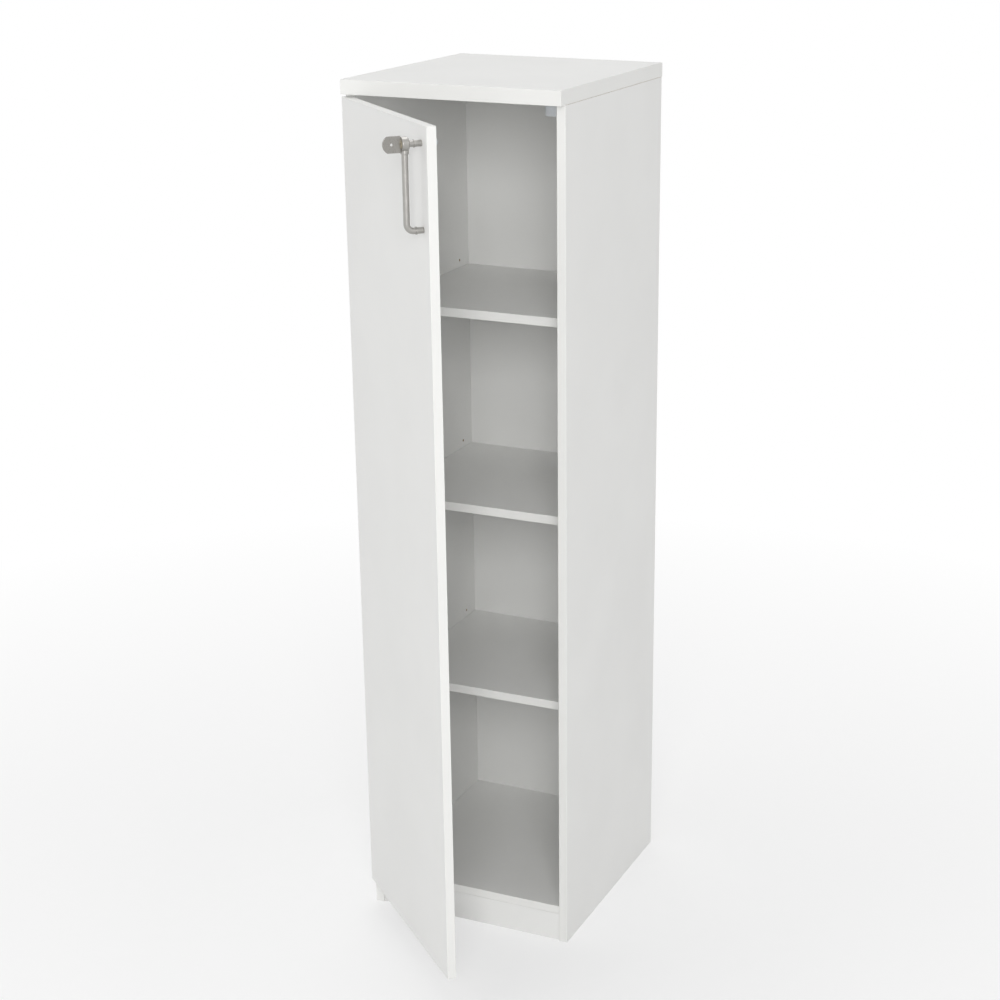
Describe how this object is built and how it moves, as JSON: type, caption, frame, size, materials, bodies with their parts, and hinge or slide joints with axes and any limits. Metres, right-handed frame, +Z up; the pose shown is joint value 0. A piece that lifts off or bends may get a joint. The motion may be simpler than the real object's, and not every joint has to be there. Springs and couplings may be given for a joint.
{
  "type": "storage cabinet",
  "caption": "Tall narrow office cabinet with adjustable shelves behind a hinged door that has a bow handle and a key lock.",
  "frame": {"origin": "middle of the plinth board's underside, on the floor and near the front", "axes": "+Z up, +X to the right as seen from the front, +Y from the front to the back"},
  "size_m": [0.4009, 0.7414, 1.552],
  "materials": {
    "white_board": "white melamine-faced chipboard, fine satin",
    "back_board": "white lacquered hardboard, matt",
    "edge_band": "white ABS edge band, satin",
    "satin_nickel": "satin nickel plating",
    "hinge_steel": "bright nickel-plated pressed steel",
    "zinc_screw": "bright zinc plating",
    "die_cast_zinc": "bare die-cast zinc",
    "key_steel": "nickel-plated steel",
    "lock_brass": "brass, satin nickel plated",
    "beech": "raw beech",
    "white_plastic": "white moulded plastic",
    "clear_rubber": "clear soft polyurethane"
  },
  "bodies": {
    "carcass": {"top_panel": "white_board", "top_edge_band": "edge_band", "left_side_panel": "white_board", "right_side_panel": "white_board", "left_side_edge_band": "edge_band", "right_side_edge_band": "edge_band", "bottom_panel": "white_board", "bottom_edge_band": "edge_band", "plinth_board": "white_board", "back_panel": "back_board", "back_panel_screws": "zinc_screw", "lower_shelf": "white_board", "middle_shelf": "white_board", "upper_shelf": "white_board", "shelf_edge_bands": "edge_band", "shelf_pins": "zinc_screw", "connecting_bolts": "zinc_screw", "cam_housings": "die_cast_zinc", "cam_cover_caps": "white_plastic", "dowels": "beech", "hinge_mounting_plates": "hinge_steel", "hinge_plate_screws": "zinc_screw", "hinge_arms": "hinge_steel", "hinge_arm_pins": "zinc_screw", "hinge_arm_screws": "zinc_screw", "lock_strike_plate": "zinc_screw", "strike_plate_screws": "zinc_screw"},
    "outer_links": {"hinge_outer_links": "hinge_steel"},
    "inner_links": {"hinge_inner_links": "hinge_steel"},
    "door": {"door_panel": "white_board", "door_edge_band": "edge_band", "door_bumpers": "clear_rubber", "hinge_cups": "hinge_steel", "hinge_cup_screws": "zinc_screw", "hinge_cup_pins": "zinc_screw", "handle_bow": "satin_nickel", "handle_stand_offs": "satin_nickel", "handle_rings": "satin_nickel", "handle_screw": "zinc_screw", "lock_head": "satin_nickel", "lock_nut": "zinc_screw"},
    "lock_core": {"lock_core": "lock_brass", "lock_cam": "zinc_screw", "lock_cam_screw": "zinc_screw"},
    "key": {"key_blade": "key_steel", "key_bow": "key_steel"}
  },
  "joints": [
    {"name": "outer_links_turn", "type": "hinge", "parent": "carcass", "child": "outer_links", "pos_m": [-0.16, 0.0005, 0], "axis": [0, 0, -1], "range_deg": [-15, 12]},
    {"name": "inner_links_turn", "type": "hinge", "parent": "carcass", "child": "inner_links", "pos_m": [-0.1618, -0.0088, 0], "axis": [0, 0, -1], "range_deg": [-13, 10.5]},
    {"name": "door_swing", "type": "hinge", "parent": "outer_links", "child": "door", "pos_m": [-0.18446, -0.02093, 0], "axis": [0, 0, -1], "range_deg": [-53.34, 67.31]},
    {"name": "lock_turn", "type": "hinge", "parent": "door", "child": "lock_core", "pos_m": [0.07584, -0.27388, 1.4955], "axis": [0.6691, 0.7431, 0], "range_deg": [0, 90]},
    {"name": "key_slide", "type": "slide", "parent": "lock_core", "child": "key", "axis": [-0.6691, -0.7431, 0], "range_m": [0, 0.024]}
  ],
  "couplings": [
    {"joint": "outer_links_turn", "follows": "door_swing", "ratio": -0.2126},
    {"joint": "inner_links_turn", "follows": "door_swing", "ratio": -0.18504}
  ]
}
